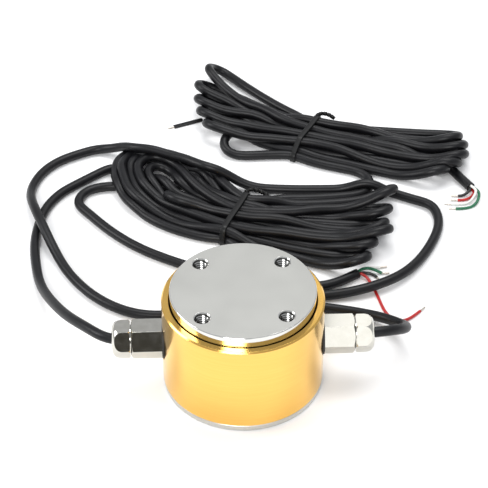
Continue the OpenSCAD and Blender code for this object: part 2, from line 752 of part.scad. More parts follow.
wire(right_end_pts, right_white, right_white_pts, "white");  // right_white_wire
wire(right_end_pts, right_black, right_black_pts, "black");  // right_black_wire
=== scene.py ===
"""Three-axis force sensor with two cable glands, and its two signal cables tied in hanks behind it.

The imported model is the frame. Every new piece is a surface worked out with numpy in millimetres,
in the frame's own axes, and put in place in metres:
- a cable is a circle carried along a line. The line starts as a natural cubic spline through the
  route points, and a short rope calculation then settles its turns on the floor and on each other
- a tie is a flat oval carried round the hank, with its two ends twisted together
- a thread is a blunt triangle carried along a helix.
"""
import json
import math
import bpy
import bmesh
import numpy as np
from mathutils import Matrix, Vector


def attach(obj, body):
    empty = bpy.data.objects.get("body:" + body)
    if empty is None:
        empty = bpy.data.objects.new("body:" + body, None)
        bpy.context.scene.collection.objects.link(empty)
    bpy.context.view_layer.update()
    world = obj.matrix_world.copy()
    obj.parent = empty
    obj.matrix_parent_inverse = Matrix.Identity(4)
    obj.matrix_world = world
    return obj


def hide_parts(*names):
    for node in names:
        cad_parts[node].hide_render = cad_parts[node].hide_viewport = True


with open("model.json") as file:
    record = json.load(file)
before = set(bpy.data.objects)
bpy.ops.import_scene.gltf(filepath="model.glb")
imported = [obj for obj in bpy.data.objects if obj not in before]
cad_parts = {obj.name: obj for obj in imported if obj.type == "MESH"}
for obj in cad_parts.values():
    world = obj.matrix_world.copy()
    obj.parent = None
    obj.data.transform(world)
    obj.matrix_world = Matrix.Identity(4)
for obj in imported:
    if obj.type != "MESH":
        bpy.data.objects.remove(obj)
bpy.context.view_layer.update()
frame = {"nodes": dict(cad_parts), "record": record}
SLOTS = {part["node"]: part["material_slot"] for part in frame["record"]["subparts"]}
MM = 0.001

# Sizes of the sensor and its cables, in millimetres
DISC_TOP = 42.9
BOLT_CIRCLE_R = 21.5
BOLT_CORE_R = 2.5
BOLT_DEPTH = 8.0
BOLT_PITCH = 1.0
CABLE_D = 4.0
CABLE_R = CABLE_D / 2
WIRE_R = 0.6
FLOOR_Z = CABLE_R


def new_object(name, data):
    obj = bpy.data.objects.new(name, data)
    bpy.context.scene.collection.objects.link(obj)
    return obj


# Camera: it looks down on the sensor from in front, with a long lens

PHOTO_PX = 488
FOCAL_PX = 1906
SENSOR_MM = 36.0
CAMERA_AZ = math.radians(-2.2)
CAMERA_EL = math.radians(39.1)
CAMERA_AWAY = 750.0
CAMERA_AIM = Vector((2.45, 54.3, 20.0))


def place_camera():
    """It stands CAMERA_AWAY from its aim, turned by its azimuth and raised by its elevation."""
    back = Vector((math.sin(CAMERA_AZ) * math.cos(CAMERA_EL), -math.cos(CAMERA_AZ) * math.cos(CAMERA_EL),
                   math.sin(CAMERA_EL)))
    data = bpy.data.cameras.new("camera")
    data.sensor_width = SENSOR_MM
    data.lens = FOCAL_PX / PHOTO_PX * SENSOR_MM
    data.clip_start = 0.01
    data.clip_end = 20
    camera = new_object("camera", data)
    camera.location = (CAMERA_AIM + CAMERA_AWAY * back) * MM
    camera.rotation_euler = (-back).to_track_quat("-Z", "Y").to_euler()
    bpy.context.scene.camera = camera


place_camera()


# Cable routes in millimetres, z is the middle of the cable. The leads, the tail, the loop, the link and
# the end are the points that the CAD tubes follow, and the others lie in the hanks.

LEFT_LEAD = [
    (-38.9, 0, 20.2), (-47.5, 0, 20.2), (-51.5, 1.6, 20.1), (-56, 6, 19.3), (-61.5, 13, 17.3),
    (-67, 22, 14), (-72, 33, 10), (-76, 44, 6), (-79, 55, 3), (-81, 67, 2), (-82, 80, 2),
    (-81, 92, 2), (-78, 104, 2), (-72, 114, 2), (-64, 123, 2), (-57.6, 128.6, 2.2),
]
LEFT_INTO_HANK = [
    (-52.5, 133.5, 2.1), (-46.5, 136.5, 2), (-39.5, 133.5, 2), (-32, 124, 2), (-24, 110, 3),
]
LEFT_TAIL = [
    (7.2, 72.7, 2), (8.1, 66, 2), (10.5, 60, 2), (14.5, 55, 2), (20, 51.3, 2), (27, 49, 2),
    (34, 49, 2), (41, 51.7, 2), (48, 56, 2),
]
RIGHT_LEAD = [
    (38.9, 0, 20.2), (47.5, 0, 20.2), (52, 0.8, 20), (56.5, 3, 18.6), (60.5, 7, 15.5),
    (62.5, 12, 12), (61.5, 18, 8), (57, 24.5, 5), (49.5, 30, 3), (40, 34, 2), (27, 36.5, 2),
    (12, 37.5, 2), (-4, 37, 2), (-18, 35, 2), (-31, 33.5, 2), (-43, 36, 2), (-56, 45, 2),
    (-66, 58, 2), (-72, 70, 2.6), (-77, 82, 5), (-81, 93, 6.3), (-84, 104, 5), (-85, 115, 2.6),
    (-82, 126, 2), (-74, 136, 2), (-62, 142.5, 2), (-53, 144.5, 3),
]
OVER_THE_TURNS = [
    (-47.5, 140.4, 6), (-42, 134.8, 9.3), (-30.5, 130.2, 10.3), (-19.9, 125, 10.3), (-9.5, 117.2, 10.8),
]
BEHIND_THE_TIE = [
    (-1, 112.8, 7), (5, 108.2, 4), (12, 107.5, 2.3), (20, 109.5, 2), (27, 111.5, 2), (43, 113, 2),
    (56, 111.8, 2.6), (65, 109.4, 2.6),
]
RIGHT_LOOP = [
    (71.5, 108.3, 2.6), (77, 106, 2.6), (82, 100, 2.3), (84.5, 90, 2), (82, 79, 2), (76, 67, 2),
    (67, 55, 3), (58, 48.5, 3.4), (47, 44.5, 3), (33, 43, 2), (19, 44.5, 2), (5, 50, 2),
    (-9, 57.5, 2), (-24, 65.5, 2), (-40, 76, 2), (-53, 89, 2), (-62, 101, 2), (-66.5, 109.5, 2),
    (-64.5, 116, 2), (-58.5, 119.8, 2.2),
]
UNDER_THE_TURNS = [(-51.8, 119, 2.1), (-42, 117, 2), (-28, 115, 2)]
OUT_OF_THE_TIE = [(30, 104, 2), (46, 106, 2.2)]
RIGHT_LINK = [(62, 111.2, 2.4), (64.2, 115.6, 2.2), (62.5, 121.2, 2), (56, 123.6, 2)]
LAST_RUN = [(62, 143, 9.4), (76, 135, 9.8), (87, 126, 7.5)]
RIGHT_END = [(93.3, 120.2, 2.4), (97.5, 118.4, 2), (100.3, 115, 2), (100.8, 110.8, 2)]

# Where the left cable crosses over the right cable's pass at the bottom of the front hank
CROSSING = (-11.8, 119.2, 6.4)

# A hank is tied across its middle, at a place and with a tilt in degrees. Inside the tie its runs lie in
# layers, from B at the bottom over T to U, a pitch apart. A run's name is its layer and its number there,
# counted from the front. half and top bound the middles of the runs across and up. Outside the tie the
# runs spread a little, and those at the back of the front hank flare out on the left to its round end.
FRONT = {"at": (0.0, 91.0), "tilt": -20.0, "half": 11.9, "top": 8.5, "pitch": 4.7, "row": 6, "flare": 1.5}
BACK = {"at": (33.0, 146.5), "tilt": -24.0, "half": 11.7, "top": 8.5, "pitch": 4.65, "row": 6, "flare": 0.1}
LAYER_Z = {"B": 2.0, "T": 5.3, "U": 8.4}
LAYER_SHIFT = {"B": 0.0, "T": 0.5, "U": 1.0}
SPREAD = 0.1
RUN_REACH = 12.0

# A fold at a hank's end leaves one layer and enters another. Its lean is its breadth as a share of its
# length, and a heading is the way the runs arrive there, in degrees.
FOLD_R = 6.8
FOLD_LEAN = 0.85
FOLD_LOW = 2.1
FOLD_HIGH = 9.4
FRONT_HEADING = 4
BACK_HEADING = -14

# The one fold inside the round end of the front hank, and the flat one at the front of the back hank
INNER_TIP = (-27, 106)
INNER_HEADING = 150
INNER_R = 6.5
FLAT_R = 7.5
FLAT_HIGH = 6
FLAT_LEAN = 1

# The left end of the front hank is a lopsided oval: angles about its centre, and shares of its radius there
ROUND_CENTRE = (-28.5, 120.0)
ROUND_END = [(255, 1.05), (230, 0.86), (194, 0.79), (157, 0.88), (121, 0.94), (84, 0.84)]

# Laps of the left cable: the run to the right, the tip of the fold there and the heights before and after
# it, the run back, and the radius, height and lift of the round turn at the left. One lap has the inner
# fold instead.
FRONT_LAPS = [
    ("T2", (61.5, 83), FOLD_HIGH, FOLD_LOW, "B3", (8.5, 4.5, 1.5)),
    ("T1", (56, 71.5), FOLD_HIGH, FOLD_LOW, "B2", None),
    ("U1", (62.5, 77), 4, 12, "U0", (14.5, 6.3, 0.8)),
    ("U2", (67, 103), 12, 4, "T4", (22.4, 4, 2.5)),
    ("T0", (52.5, 62.5), FOLD_HIGH, FOLD_LOW, "B1", (18.6, 3, 3.4)),
    ("T3", (64, 93), FOLD_HIGH, FOLD_LOW, "B4", (25.6, 2.2, 2.5)),
]

# Laps of the right cable: the run to the left, the tip of the fold there and its heading, the run back,
# and the tip of the fold at the right. The last lap ends without one.
BACK_LAPS = [
    ("B0", (-2.5, 146), 165, "T0", (91, 119)),
    ("B1", (-10, 157), 160, "T1", (97, 123.5)),
    ("B2", (-12.2, 166.5), 153, "T2", (100.5, 129.5)),
    ("B3", (-12.8, 176), 147, "T3", (101, 136)),
    ("B4", (-12, 187), 140, "T4", (99.5, 142.5)),
    ("B5", (-6.5, 200), 132, "U2", None),
]


def at_tie(tie, u, v, z):
    """The point u along and v across the hank from the middle of its tie."""
    a = math.radians(tie["tilt"])
    return (tie["at"][0] + u * math.cos(a) - v * math.sin(a),
            tie["at"][1] + u * math.sin(a) + v * math.cos(a), z)


def from_tie(tie, line):
    """How far the points of a line lie along and across the hank from the middle of its tie."""
    a = math.radians(tie["tilt"])
    x, y = line[:, 0] - tie["at"][0], line[:, 1] - tie["at"][1]
    return x * math.cos(a) + y * math.sin(a), -x * math.sin(a) + y * math.cos(a)


def number(run_name):
    return int(run_name[1:])


def run(tie, name, to_right):
    """Three points of a run: in the tie, and RUN_REACH to either side, where it is a share further out."""
    layer = name[0]
    v = tie["pitch"] * (number(name) + LAYER_SHIFT[layer] - (tie["row"] - 1) / 2)
    flare = tie["flare"] if v > 0 else SPREAD
    places = [(-RUN_REACH, 1 + flare), (0, 1), (RUN_REACH, 1 + SPREAD)]
    points = [at_tie(tie, u, v * share, LAYER_Z[layer]) for u, share in places]
    return points if to_right else points[::-1]


def round_end(radius, z, lift):
    """A turn round the left end of the front hank, from the front to the back. Its middle is lifted."""
    angles, shares = np.array(ROUND_END).T
    t = np.linspace(-1, 1, len(angles))
    a, r = np.radians(angles), radius * shares
    return list(zip(ROUND_CENTRE[0] + r * np.cos(a), ROUND_CENTRE[1] + r * np.sin(a), z + lift * (1 - t * t)))


def fold(tip, heading, radius, z_from, z_to, turn, lean=FOLD_LEAN):
    """A half turn that ends a run and starts the next: half an ellipse that rises or falls with the sine
    of its angle. tip is its furthest point and heading the way the first run arrives there, in degrees.
    turn is 1 to the left and -1 to the right."""
    h = math.radians(heading)
    ahead, left = np.array([math.cos(h), math.sin(h)]), np.array([-math.sin(h), math.cos(h)])
    out = []
    for a in np.radians([-90, -45, 0, 45, 90]):
        p = np.array(tip) - ahead * radius * (1 - math.cos(a)) + left * turn * radius * lean * math.sin(a)
        out.append((p[0], p[1], z_from + (z_to - z_from) * (0.5 + 0.5 * math.sin(a))))
    return out


def left_cable_route():
    """Lead, 13 passes through the front hank, then the tail in front of it. The second list holds the
    points of the turns and of the crossing that stay in place while the rest settles."""
    route, held = LEFT_LEAD + LEFT_INTO_HANK, []
    for goes, tip, z_from, z_to, comes, round_turn in FRONT_LAPS:
        turn = 1 if number(comes) > number(goes) else -1
        bend = fold(tip, FRONT_HEADING, FOLD_R, z_from, z_to, turn)
        held += bend[1:4]
        route += run(FRONT, goes, True) + bend + run(FRONT, comes, False)
        if comes == "B4":
            held.append(CROSSING)
            route.append(CROSSING)
        if round_turn:
            from_back = number(comes) >= FRONT["row"] // 2
            bend = round_end(*round_turn)[::-1 if from_back else 1]
            held += bend[1:5]
        else:
            bend = fold(INNER_TIP, INNER_HEADING, INNER_R, FOLD_LOW, FOLD_HIGH, 1)
            held += bend[1:4]
        route += bend
    route += run(FRONT, "B0", True)[:2]
    return route + LEFT_TAIL, held


def right_cable_route():
    """Lead, a run behind the front hank's tie, the wide loop round the sensor's back, one pass at the
    bottom of the front hank, the link and 12 passes through the back hank. The second list holds the
    points that stay in place."""
    route, held = RIGHT_LEAD + OVER_THE_TURNS + BEHIND_THE_TIE, list(OVER_THE_TURNS)
    route += RIGHT_LOOP + UNDER_THE_TURNS + run(FRONT, "B5", True) + OUT_OF_THE_TIE + RIGHT_LINK
    for goes, left_tip, heading, comes, right_tip in BACK_LAPS:
        if goes == "B0":
            bend = fold(left_tip, heading, FLAT_R, FOLD_LOW, FLAT_HIGH, -1, FLAT_LEAN)
        else:
            bend = fold(left_tip, heading, FOLD_R, FOLD_LOW, FOLD_HIGH, 1)
        held += bend[1:4]
        route += run(BACK, goes, False) + bend + run(BACK, comes, True)
        if right_tip:
            bend = fold(right_tip, BACK_HEADING, FOLD_R, FOLD_HIGH, FOLD_LOW, 1)
            held += bend[1:4]
            route += bend
    return route + LAST_RUN + RIGHT_END, held


def way_along(line):
    """The distance from the start of a line to each of its points."""
    return np.concatenate([[0], np.cumsum(np.linalg.norm(np.diff(line, axis=0), axis=1))])


def even_steps(line, step):
    """The same line with its points a step apart."""
    s = way_along(line)
    w = np.linspace(0, s[-1], max(int(round(s[-1] / step)), 2) + 1)
    return np.stack([np.interp(w, s, line[:, c]) for c in range(3)], axis=1)


SPLINE_SAMPLES = 60


def smooth_line(points, step):
    """Natural cubic spline: curvature is continuous at each point and zero at both ends. A linear system
    gives the second derivatives, and the stretches are sampled, then set out in even steps."""
    p = np.array(points, float)
    t = np.concatenate([[0], np.cumsum(np.sqrt(np.linalg.norm(np.diff(p, axis=0), axis=1)))])
    n, h = len(p), np.diff(t)
    system, right = np.zeros((n, n)), np.zeros((n, 3))
    system[0, 0] = system[-1, -1] = 1
    i = np.arange(1, n - 1)
    system[i, i - 1], system[i, i], system[i, i + 1] = h[:-1], 2 * (h[:-1] + h[1:]), h[1:]
    right[1:-1] = 6 * ((p[2:] - p[1:-1]) / h[1:, None] - (p[1:-1] - p[:-2]) / h[:-1, None])
    m = np.linalg.solve(system, right)
    u = np.linspace(0, t[-1], n * SPLINE_SAMPLES)
    k = np.clip(np.searchsorted(t, u, side="right") - 1, 0, n - 2)
    f, g, hk = (u - t[k])[:, None], (t[k + 1] - u)[:, None], h[k][:, None]
    line = (m[k] * g ** 3 + m[k + 1] * f ** 3) / (6 * hk)
    line += (p[k] / hk - m[k] * hk / 6) * g + (p[k + 1] / hk - m[k + 1] * hk / 6) * f
    return even_steps(line, step)


# How the cables settle, in millimetres. A strength is the share of a fault that one round mends.
ROPE_STEP = 3.0
FINE_STEP = 1.3
ROPE_ROUNDS = 420
EVENING = 0.2
DROP = 0.03
# A step between two points stays between these shares of ROPE_STEP
STEP_LEAST, STEP_MOST = 0.8, 1.05
STEP_STRENGTH = 0.9
# Points this many steps apart keep this distance, which limits the bend
BEND_GAP = 4
BEND_CHORD = 10.6
BEND_STRENGTH = 0.35
# The middles of two runs keep this distance
CLEAR = 4.04
CLEAR_STRENGTH = 0.5
# Points nearer than this, and at least so many steps apart, are listed anew after so many rounds
NEAR = 5.6
NEAR_GAP = 5
NEAR_EVERY = 8
# The part of a hank that its tie presses together, along and across it
TIE_REACH = 2.6
TIE_SPAN = 15.0
TIE_STRENGTH = 0.6
# A cable grows free over this many points
EASE = 7
EVEN_OUT = (0.5, -0.52) * 6


def settle(lines, free_parts):
    """Lets both cables settle: each round evens their bends, keeps their length and least bend radius,
    parts runs that lie in each other, and keeps them above the floor and inside the ties."""
    sizes = [len(x) for x in lines]
    p = np.concatenate(lines)
    free = np.concatenate(free_parts)[:, None]
    cable = np.repeat(np.arange(len(lines)), sizes)
    along = np.arange(len(p))
    inner = np.zeros(len(p), bool)
    inner[1:-1] = (cable[:-2] == cable[1:-1]) & (cable[2:] == cable[1:-1])
    inner = np.where(inner)[0]

    def push(a, b, least, most, strength):
        """Moves the points a and b along the line between them until they are least to most apart."""
        d = p[b] - p[a]
        r = np.linalg.norm(d, axis=1)
        aim = np.clip(r, least, most)
        w = free[a] + free[b]
        move = strength * ((r - aim) / np.maximum(r, 0.01))[:, None] * d / np.maximum(w, 1)
        np.add.at(p, a, move * free[a])
        np.add.at(p, b, -move * free[b])

    def pairs(gap):
        a = along[:-gap]
        return a[cable[a] == cable[a + gap]]

    links, chords = pairs(1), pairs(BEND_GAP)
    for turn in range(ROPE_ROUNDS):
        mid = (p[inner - 1] + p[inner + 1]) / 2
        p[inner] += EVENING * (mid - p[inner]) * free[inner]
        p[:, 2:] -= DROP * free
        for start in (0, 1):
            a = links[links % 2 == start]
            push(a, a + 1, ROPE_STEP * STEP_LEAST, ROPE_STEP * STEP_MOST, STEP_STRENGTH)
        for start in (0, 1):
            a = chords[(chords // BEND_GAP) % 2 == start]
            push(a, a + BEND_GAP, BEND_CHORD, np.inf, BEND_STRENGTH)
        if turn % NEAR_EVERY == 0:
            q = p.astype(np.float32)
            square = (q * q).sum(1)
            apart = square[:, None] + square[None] - 2 * q @ q.T
            near = np.where(np.triu(apart < NEAR ** 2, NEAR_GAP))
        push(*near, CLEAR, np.inf, CLEAR_STRENGTH)
        for tie in (FRONT, BACK):
            a = math.radians(tie["tilt"])
            u, v = from_tie(tie, p)
            held = (np.abs(u) < TIE_REACH) & (np.abs(v) < TIE_SPAN)
            over = np.where(held, np.clip(v, -tie["half"], tie["half"]) - v, 0) * free[:, 0] * TIE_STRENGTH
            p[:, 0] -= over * math.sin(a)
            p[:, 1] += over * math.cos(a)
            p[:, 2] = np.where(held & (free[:, 0] > 0), np.minimum(p[:, 2], tie["top"]), p[:, 2])
        p[:, 2] = np.maximum(p[:, 2], FLOOR_Z)
    return np.split(p, np.cumsum(sizes)[:-1])


def nearest(line, point):
    """The number of the line's point that is nearest to a place."""
    return int(np.argmin(np.linalg.norm(line - np.array(point, float), axis=1)))


def freedom(line, spans, held):
    """How freely each point of a cable may move: fully between the two route points of a span, which it
    enters gradually, and not at all at the held points."""
    out = np.zeros(len(line))
    for first, last in spans:
        out[nearest(line, first):nearest(line, last)] = 1
    out = np.convolve(out, np.ones(EASE) / EASE, "same")
    out[[nearest(line, point) for point in held]] = 0
    return out


def even_out(line):
    """Evens the small waves that the calculation leaves: each point moves towards its neighbours' mean,
    then back past its place by a little more, so that bends keep their size."""
    for share in EVEN_OUT:
        line[1:-1] += share * ((line[:-2] + line[2:]) / 2 - line[1:-1])
    line = smooth_line(line, FINE_STEP)
    line[:, 2] = np.maximum(line[:, 2], FLOOR_Z)
    return line


left_points, left_held = left_cable_route()
right_points, right_held = right_cable_route()
left_line, right_line = smooth_line(left_points, ROPE_STEP), smooth_line(right_points, ROPE_STEP)
left_free = freedom(left_line, [(LEFT_LEAD[-2], LEFT_TAIL[1])], left_held)
right_spans = [(OVER_THE_TURNS[0], RIGHT_LOOP[1]), (RIGHT_LOOP[-2], RIGHT_END[1])]
right_free = freedom(right_line, right_spans, right_held)
left_line, right_line = [even_out(line) for line in settle([left_line, right_line], [left_free, right_free])]


# Materials

# A noise pattern keeps mostly between these two values
NOISE_LOW, NOISE_HIGH = 0.3, 0.7


def srgb(code):
    """The linear colour of an sRGB hex code."""
    parts = [int(code[i:i + 2], 16) / 255 for i in (1, 3, 5)]
    return [c / 12.92 if c <= 0.04045 else ((c + 0.055) / 1.055) ** 2.4 for c in parts] + [1.0]


def add(tree, kind, settings=None, **inputs):
    """Adds a node with its settings. An input is a value or another node's output. Its name has low lines
    for spaces, or is a low line and the input's number."""
    node = tree.nodes.new(kind)
    for name, value in (settings or {}).items():
        setattr(node, name, value)
    for name, value in inputs.items():
        socket = node.inputs[int(name[1:])] if name[0] == "_" else node.inputs[name.replace("_", " ")]
        if isinstance(value, bpy.types.NodeSocket):
            tree.links.new(value, socket)
        else:
            socket.default_value = value
    return node


def new_material(name):
    """A material whose tree is still empty."""
    mat = bpy.data.materials.new(name)
    mat.use_nodes = True
    mat.node_tree.nodes.clear()
    return mat, mat.node_tree


def end_material(tree, **sockets):
    """Ends a material with its Principled shader, whose sockets hold the finish."""
    shader = add(tree, "ShaderNodeBsdfPrincipled", **sockets)
    add(tree, "ShaderNodeOutputMaterial", Surface=shader.outputs["BSDF"])


def varied(tree, shade_by, shades, gloss_by, rough):
    """Sockets for a colour that goes from dark to light with one pattern, and a roughness that goes from
    low to high with another."""
    ramp = add(tree, "ShaderNodeValToRGB", Fac=shade_by)
    for element, position, shade in zip(ramp.color_ramp.elements, (NOISE_LOW, NOISE_HIGH), shades):
        element.position = position
        element.color = srgb(shade)
    gloss = add(tree, "ShaderNodeMapRange", Value=gloss_by, From_Min=NOISE_LOW, From_Max=NOISE_HIGH,
                To_Min=rough[0], To_Max=rough[1])
    return {"Base_Color": ramp.outputs["Color"], "Roughness": gloss.outputs["Result"]}


def surface(name, shades, rough, grain_mm, stretch=(1, 1, 1), relief_mm=0.0, **sockets):
    """A finish whose shade and gloss change a little over blobs of grain_mm. They are stretched where the
    work left marks that run one way, and they may stand out by relief_mm."""
    mat, tree = new_material(name)
    coords = add(tree, "ShaderNodeTexCoord").outputs["Object"]
    place = add(tree, "ShaderNodeMapping", Vector=coords, Scale=stretch).outputs["Vector"]
    noise = add(tree, "ShaderNodeTexNoise", Vector=place, Scale=1 / (grain_mm * MM), Detail=2.0)
    grain = noise.outputs["Fac"]
    sockets.update(varied(tree, grain, shades, grain, rough))
    if relief_mm:
        bump = add(tree, "ShaderNodeBump", Height=grain, Distance=relief_mm * MM, Strength=1.0)
        sockets["Normal"] = bump.outputs["Normal"]
    end_material(tree, **sockets)
    return mat


def blasted_aluminium():
    """The loading disc: bead blasted and clear anodised, which gives an even, soft grey with no streaks.
    Its shade drifts over 14 mm, and the beads' dents are drawn 0.25 mm across."""
    mat, tree = new_material("blasted_anodised_aluminium")
    coords = add(tree, "ShaderNodeTexCoord").outputs["Object"]
    drift = add(tree, "ShaderNodeTexNoise", Vector=coords, Scale=1 / (14 * MM), Detail=1.0).outputs["Fac"]
    dents = add(tree, "ShaderNodeTexNoise", Vector=coords, Scale=1 / (0.25 * MM), Detail=2.0).outputs["Fac"]
    bump = add(tree, "ShaderNodeBump", Height=dents, Distance=0.012 * MM, Strength=1.0)
    end_material(tree, **varied(tree, drift, ("#A3A39F", "#A9A9A5"), drift, (0.46, 0.52)), Metallic=0.6,
                 Normal=bump.outputs["Normal"])
    return mat


def jacket():
    """Extruded PVC cable jacket: black, satin, with faint streaks along it and a fine wave of gloss.
    Its own UV map counts millimetres along and round it."""
    mat, tree = new_material("extruded_black_pvc_jacket")
    along = add(tree, "ShaderNodeUVMap", {"uv_map": "length_round"}).outputs["UV"]
    drawn = add(tree, "ShaderNodeMapping", Vector=along, Scale=(0.03, 2.5, 1)).outputs["Vector"]
    streaks = add(tree, "ShaderNodeTexNoise", Vector=drawn, Scale=1.0, Detail=3.0).outputs["Fac"]
    dust = add(tree, "ShaderNodeTexNoise", Vector=along, Scale=0.35, Detail=4.0).outputs["Fac"]
    bump = add(tree, "ShaderNodeBump", Height=streaks, Distance=0.02 * MM, Strength=0.6)
    end_material(tree, **varied(tree, dust, ("#0C0C0E", "#131316"), streaks, (0.34, 0.44)), IOR=1.36,
                 Normal=bump.outputs["Normal"])
    return mat


def insulation(kind, shades):
    """Extruded wire insulation: plain colour with a soft gloss."""
    return surface(f"extruded_{kind}_insulation", shades, (0.3, 0.42), 1.0, IOR=1.5)


MATERIALS = {
    # Turned aluminium, clear anodised: pale grey with a soft sheen
    "turned_aluminium": surface("turned_clear_anodised_aluminium", ("#C4C4C0", "#CFCFCB"), (0.3, 0.38), 0.5,
                                Metallic=1.0),
    # Turned, polished and gold anodised: the turning marks run round the sleeve and blur its mirror
    "gold_anodised_aluminium": surface("polished_gold_anodised_aluminium", ("#EEBE65", "#F2C56C"),
                                       (0.14, 0.18), 0.35, (0.02, 0.02, 1), 0.0015, Metallic=1.0),
    # Milled aluminium: cutter marks run one way and stretch its highlights
    "milled_aluminium": surface("milled_aluminium", ("#B0B2B4", "#C2C4C6"), (0.28, 0.42), 0.4, (0.1, 1, 1),
                                0.006, Metallic=1.0),
    # Polyimide film over a metal foil: amber and slightly glossy
    "gauge_film": surface("amber_polyimide_film", ("#8A4A10", "#B0661C"), (0.25, 0.4), 0.4, IOR=1.6),
    # Nitrile rubber, moulded: black, satin, no visible grain
    "seal_rubber": surface("moulded_black_nitrile", ("#141414", "#1C1C1C"), (0.5, 0.62), 0.6, IOR=1.52),
    # Steel with black oxide: near black metal with dull highlights
    "blackened_steel": surface("black_oxide_steel", ("#242425", "#38383A"), (0.34, 0.46), 0.5, Metallic=1.0),
    # Ground steel: bright, with fine rings round it
    "ground_steel": surface("ground_steel", ("#B8B8BA", "#CCCCCE"), (0.16, 0.26), 0.2, (1, 1, 3),
                            Metallic=1.0),
    # Solder mask over glass laminate: glossy green with the weave just showing
    "board_laminate": surface("green_solder_mask_laminate", ("#0E3B1E", "#15502A"), (0.2, 0.32), 0.5,
                              relief_mm=0.01, IOR=1.5),
    # Turned brass: yellow, with soft turning marks
    "spacer_brass": surface("turned_brass", ("#C39A45", "#D9B35C"), (0.22, 0.34), 0.3, (0.2, 0.2, 1),
                            Metallic=1.0),
    # Bright zinc plate: bluish white, slightly cloudy
    "zinc_steel": surface("bright_zinc_plated_steel", ("#BCC2C8", "#D0D5DA"), (0.22, 0.36), 0.8,
                          Metallic=1.0),
    # Filled epoxy, moulded: matt charcoal
    "chip_resin": surface("moulded_black_epoxy", ("#1C1C1C", "#2A2A2A"), (0.55, 0.7), 0.15, relief_mm=0.01,
                          IOR=1.5),
    # Nickel plate on brass, polished: a warm, clear mirror with faint waves
    "nickel_plate": surface("polished_nickel_plated_brass", ("#CBC9C0", "#D3D1C9"), (0.07, 0.12), 3.0,
                            Metallic=1.0),
    # Nylon, moulded: milky white, satin
    "cage_nylon": surface("moulded_white_nylon", ("#CFCFC4", "#E0E0D6"), (0.35, 0.5), 1.0, IOR=1.53),
    # Twist tie: thin film extruded over a wire core, black and satin
    "tie_plastic": surface("extruded_black_tie_film", ("#080808", "#0E0E0E"), (0.32, 0.44), 0.5, IOR=1.38),
    "cable_jacket": jacket(),
    "red_wire": insulation("red", ("#A01616", "#BC1F1C")),
    "green_wire": insulation("green", ("#12573A", "#1B6E4A")),
    "white_wire": insulation("white", ("#D2D2CE", "#E6E6E2")),
    "black_wire": insulation("black", ("#161616", "#202020")),
    "inner_wire": insulation("board_wire", ("#8E1A14", "#AC241C")),
}
DISC_FINISH = blasted_aluminium()
# Diamond turned aluminium on the disc's edge: a clear mirror with very fine rings
POLISHED_EDGE = surface("diamond_turned_aluminium", ("#D4D4D0", "#DEDEDA"), (0.06, 0.1), 0.3, (0.02, 0.02, 1),
                        Metallic=1.0)
# Drilled holes: their walls are painted dark for the shade inside, and the tapped crests are bright
SHADED_HOLE_WALL = surface("drilled_aluminium_painted_shade", ("#3A3A39", "#4C4C4A"), (0.3, 0.4), 0.3, Metallic=1.0)
HOLE_THREAD = surface("tapped_aluminium", ("#A8A8A6", "#BABAB8"), (0.12, 0.2), 0.4, Metallic=1.0)
# Stranded copper, tinned: pale and bright where a wire end is bare
TINNED = surface("tinned_copper", ("#B9B1A6", "#D6CFC6"), (0.2, 0.35), 0.2, Metallic=1.0)


# Meshes

def new_piece(name, verts, faces, finish, sharp=None):
    """A piece from points in millimetres and faces that count them. sharp is the angle, in degrees, past
    which an edge isn't shaded smooth."""
    mesh = bpy.data.meshes.new(name)
    mesh.from_pydata((verts * MM).tolist(), [], faces)
    mesh.validate()
    mesh.polygons.foreach_set("use_smooth", [True] * len(mesh.polygons))
    if sharp:
        mesh.set_sharp_from_angle(angle=math.radians(sharp))
    mesh.materials.append(finish)
    obj = new_object(name, mesh)
    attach(obj, "root")
    return obj


def face_outwards(mesh):
    """Turns the faces of a closed mesh outwards."""
    bm = bmesh.new()
    bm.from_mesh(mesh)
    bmesh.ops.recalc_face_normals(bm, faces=bm.faces)
    bm.to_mesh(mesh)
    bm.free()


def frames_along(line):
    """The level direction across a line at each point, and the upward one square to it and to the line."""
    t = np.gradient(line, axis=0)
    t /= np.linalg.norm(t, axis=1, keepdims=True)
    side = np.cross([0.0, 0.0, 1.0], t)
    size = np.linalg.norm(side, axis=1, keepdims=True)
    side = np.where(size > 0.01, side / np.maximum(size, 1e-9), [0.0, 1.0, 0.0])
    return side, np.cross(t, side)


def quads(rows, columns, closed_rows=False):
    """Faces of a grid of points whose columns close into a ring, and whose rows may."""
    i = np.arange(rows if closed_rows else rows - 1)[:, None]
    k = np.arange(columns)[None]
    nxt, kn = (i + 1) % rows, (k + 1) % columns
    return np.stack([i * columns + k, i * columns + kn, nxt * columns + kn, nxt * columns + k],
                    axis=-1).reshape(-1, 4)


def capped(rows, columns, base=0):
    """The same faces with a flat one at each end, for points that are counted from base."""
    first = np.arange(columns) + base
    last = first + (rows - 1) * columns
    return (quads(rows, columns) + base).tolist() + [first[::-1].tolist(), last.tolist()]


def swept(line, outline):
    """An outline carried along a line: point = line + outline's x across + outline's y up."""
    side, up = frames_along(line)
    across, above = outline[None, :, :1], outline[None, :, 1:]
    return (line[:, None] + across * side[:, None] + above * up[:, None]).reshape(-1, 3)


